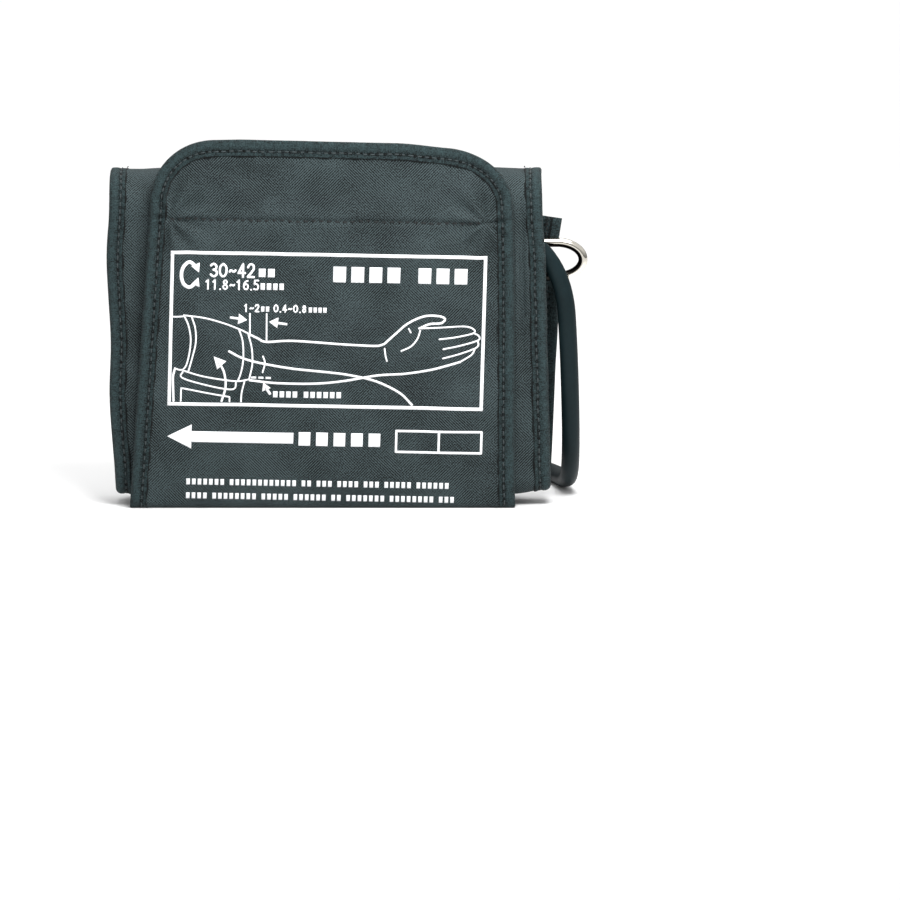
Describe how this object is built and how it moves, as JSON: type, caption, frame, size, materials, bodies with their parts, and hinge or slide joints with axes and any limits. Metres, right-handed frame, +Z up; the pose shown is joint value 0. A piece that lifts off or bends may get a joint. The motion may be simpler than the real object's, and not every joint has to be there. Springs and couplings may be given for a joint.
{
  "type": "blood pressure cuff",
  "caption": "Rolled upper-arm blood pressure cuff: sewn nylon and loop-pile strip with an air bladder, hook-and-loop flap, wire D-ring, and an air hose ending in a plug.",
  "frame": {"origin": "middle of the flat base that the rolled cuff stands on, at table height", "axes": "+X across the strip towards the side where the hose comes out, +Y from the front flap towards the rear, +Z up"},
  "size_m": [0.1848, 0.1329, 0.143],
  "materials": {
    "nylon": "woven nylon, dark slate grey, slight sheen",
    "loop_pile": "brushed loop pile, matte",
    "binding_tape": "ribbed edge binding tape",
    "hook_tape": "nylon hook tape",
    "webbing": "folded cloth hem",
    "wire": "polished nickel-plated steel wire",
    "bladder_rubber": "welded sheet, matte",
    "elbow_rubber": "moulded rubber, satin",
    "hose_rubber": "smooth extruded rubber, satin",
    "tie_plastic": "soft strip",
    "plug_plastic": "moulded light grey plastic"
  },
  "bodies": {
    "roll": {"air_plug": "plug_plastic", "base_binding": "binding_tape", "base_loop": "loop_pile", "base_nylon": "nylon", "bladder_elbow": "elbow_rubber", "bladder_inner_sheet": "bladder_rubber", "bladder_outer_sheet": "bladder_rubber", "front_panel_binding": "binding_tape", "front_panel_loop": "loop_pile", "front_panel_nylon": "nylon", "hem_tabs": "webbing", "hose": "hose_rubber", "hose_coil": "hose_rubber", "hose_tail": "hose_rubber", "hose_tie": "tie_plastic", "inner_fold_binding": "binding_tape", "inner_fold_loop": "loop_pile", "inner_fold_nylon": "nylon", "inner_panel_binding": "binding_tape", "inner_panel_loop": "loop_pile", "inner_panel_nylon": "nylon", "rear_panel_binding": "binding_tape", "rear_panel_loop": "loop_pile", "rear_panel_nylon": "nylon", "ring_hem": "webbing", "strap_loop": "loop_pile", "strap_nylon": "nylon", "top_fold_binding": "binding_tape", "top_fold_loop": "loop_pile", "top_fold_nylon": "nylon"},
    "flap": {"flap_binding": "binding_tape", "flap_loop_backing": "loop_pile", "flap_nylon": "nylon", "hook_patch": "hook_tape"},
    "d_ring": {"d_ring": "wire"}
  },
  "joints": [
    {"name": "flap_open", "type": "hinge", "parent": "roll", "child": "flap", "pos_m": [0, -0.0139, 0.0015], "axis": [1, 0, 0], "range_deg": [0, 90]},
    {"name": "dring_swing", "type": "hinge", "parent": "roll", "child": "d_ring", "pos_m": [0.0148, 0.003, 0.101], "axis": [1, 0, 0], "range_deg": [-6, 12]}
  ]
}
